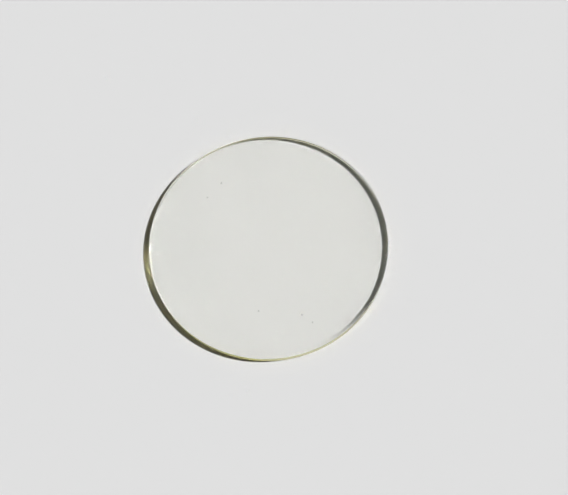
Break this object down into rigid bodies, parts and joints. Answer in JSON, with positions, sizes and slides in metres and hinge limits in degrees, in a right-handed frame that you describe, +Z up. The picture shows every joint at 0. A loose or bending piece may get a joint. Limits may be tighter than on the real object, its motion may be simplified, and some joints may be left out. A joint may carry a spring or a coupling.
{
  "type": "flat watch glass",
  "caption": "Flat round watch glass: a thin clear disc with plane polished faces, a ground edge and a fine bevel, which covers what lies under it.",
  "frame": {"origin": "middle of the flat underside", "axes": "+Z up through the disc's centre, towards the bevelled face; X and Y lie in the underside"},
  "size_m": [0.029, 0.029, 0.001],
  "materials": {
    "clear_glass": "polished"
  },
  "bodies": {
    "root": {"glass_disc": "clear_glass"}
  },
  "joints": []
}
